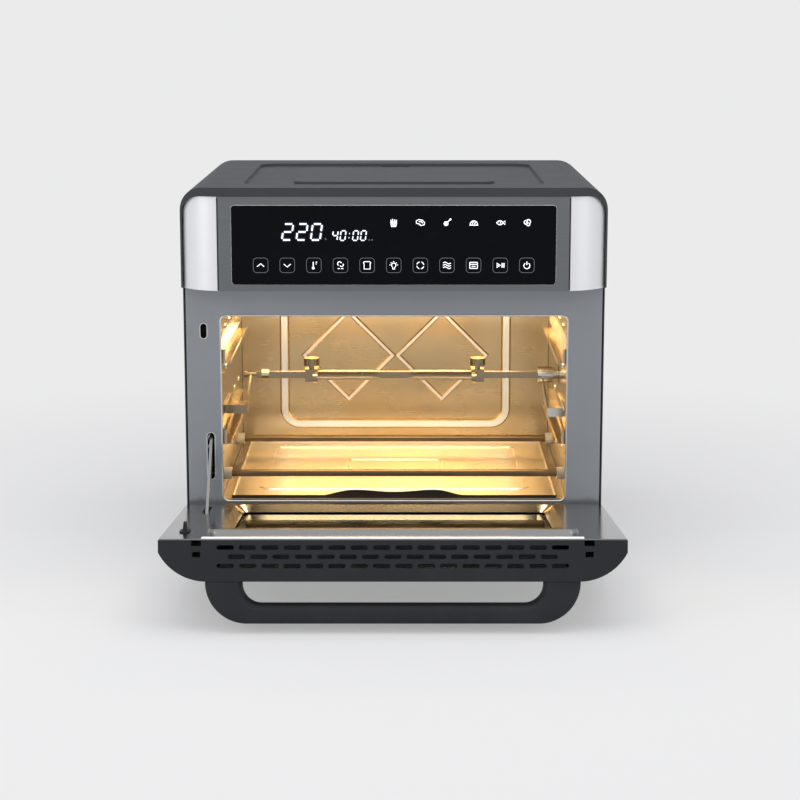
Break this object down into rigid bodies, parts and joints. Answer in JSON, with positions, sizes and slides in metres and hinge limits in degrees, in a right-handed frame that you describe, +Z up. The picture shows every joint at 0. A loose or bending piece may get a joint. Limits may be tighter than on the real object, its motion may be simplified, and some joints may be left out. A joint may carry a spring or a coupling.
{
  "type": "mini oven",
  "caption": "Countertop mini oven with drop-down glass door, bow handle, touch panel, rotisserie spit, convection fan and crumb tray.",
  "frame": {"origin": "on the table, under the middle of the footprint with the door open", "axes": "+X right, +Y to the oven's back, +Z up; the open door points along -Y"},
  "size_m": [0.37, 0.501, 0.337],
  "materials": {
    "dark_coat": "satin dark grey coating",
    "grey_coat": "satin grey enamel",
    "zinc": "galvanised sheet",
    "liner": "satin steel sheet",
    "fascia": "brushed steel",
    "moulding": "moulded black plastic",
    "black_glass": "black touch glass",
    "clear_glass": "heat-proof glass",
    "board": "green laminate",
    "display": "dark display",
    "door_steel": "polished steel",
    "rod_steel": "bright steel",
    "ceramic": "glazed ceramic",
    "fan_metal": "plain sheet",
    "gear_case": "grey plastic",
    "tray_coat": "dark non-stick coating",
    "foot_rubber": "black rubber"
  },
  "bodies": {
    "cabinet": {"outer_shell": "dark_coat", "back_cover": "dark_coat", "cable_gland": "moulding", "base_pan": "zinc", "foot_front_left": "foot_rubber", "foot_front_right": "foot_rubber", "foot_rear_left": "foot_rubber", "foot_rear_right": "foot_rubber", "front_frame": "grey_coat", "control_fascia": "fascia", "control_housing": "moulding", "touch_glass": "black_glass", "control_board": "board", "display_module": "display", "cavity_left_wall": "liner", "cavity_right_wall": "liner", "cavity_floor": "liner", "cavity_ceiling": "liner", "cavity_back_wall": "liner", "lower_heater_front": "rod_steel", "lower_heater_rear": "rod_steel", "heater_bushes": "ceramic", "upper_heater": "rod_steel", "heater_guard": "rod_steel", "fan_motor": "zinc", "lamp_lens": "clear_glass", "lamp_bulb": "clear_glass", "lamp_holder": "zinc", "rotisserie_motor": "gear_case", "spit_hook": "rod_steel", "drive_ramp": "rod_steel", "hinge_bracket_left": "zinc", "hinge_bracket_right": "zinc", "door_switch": "moulding", "temperature_probe": "rod_steel", "power_board": "board", "spring_anchor": "zinc", "balance_spring": "zinc"},
    "door": {"door_frame": "moulding", "door_vent_cap": "moulding", "door_inner_panel": "door_steel", "door_inner_glass": "clear_glass", "door_outer_glass": "clear_glass", "door_handle": "moulding", "hinge_plate_left": "zinc", "hinge_plate_right": "zinc", "door_switch_tab": "moulding"},
    "link": {"link_arm": "rod_steel"},
    "fan": {"fan_impeller": "fan_metal", "cooling_impeller": "fan_metal", "fan_shaft": "rod_steel"},
    "spit": {"drive_socket": "rod_steel", "spit_rod": "rod_steel"},
    "fork_left": {"spit_fork_left": "rod_steel"},
    "fork_right": {"spit_fork_right": "rod_steel"},
    "screw_left": {"thumb_screw_left": "rod_steel"},
    "screw_right": {"thumb_screw_right": "rod_steel"},
    "tray": {"crumb_tray": "tray_coat"}
  },
  "joints": [
    {"name": "door_hinge", "type": "hinge", "parent": "cabinet", "child": "door", "pos_m": [0, -0.04398, 0.045], "axis": [1, 0, 0], "range_deg": [-83.4, 0]},
    {"name": "link_swing", "type": "hinge", "parent": "door", "child": "link", "pos_m": [-0.1627, -0.08173, 0.04937], "axis": [1, 0, 0], "range_deg": [0, 67.4], "deforming": ["balance_spring"]},
    {"name": "fan_spin", "type": "hinge", "parent": "cabinet", "child": "fan", "pos_m": [0, 0.08752, 0.2651], "axis": [0, 0, 1], "continuous": true},
    {"name": "spit_spin", "type": "hinge", "parent": "cabinet", "child": "spit", "pos_m": [0, 0.07752, 0.148], "axis": [1, 0, 0], "continuous": true},
    {"name": "fork_left_slide", "type": "slide", "parent": "spit", "child": "fork_left", "axis": [1, 0, 0], "range_m": [-0.03, 0.01]},
    {"name": "fork_right_slide", "type": "slide", "parent": "spit", "child": "fork_right", "axis": [-1, 0, 0], "range_m": [-0.03, 0.01]},
    {"name": "screw_left_turn", "type": "hinge", "parent": "fork_left", "child": "screw_left", "pos_m": [-0.078, 0.07752, 0.148], "axis": [0, 0, 1], "range_deg": [-180, 180]},
    {"name": "screw_right_turn", "type": "hinge", "parent": "fork_right", "child": "screw_right", "pos_m": [0.078, 0.07752, 0.148], "axis": [0, 0, 1], "range_deg": [-180, 180]},
    {"name": "tray_glide", "type": "hinge", "parent": "cabinet", "child": "tray", "pos_m": [0, 0.16552, 2.0556], "axis": [-1, 0, 0], "range_deg": [0, 6.9]}
  ],
  "couplings": [
    {"joint": "link_swing", "follows": "door_hinge", "ratio": -0.80815}
  ]
}
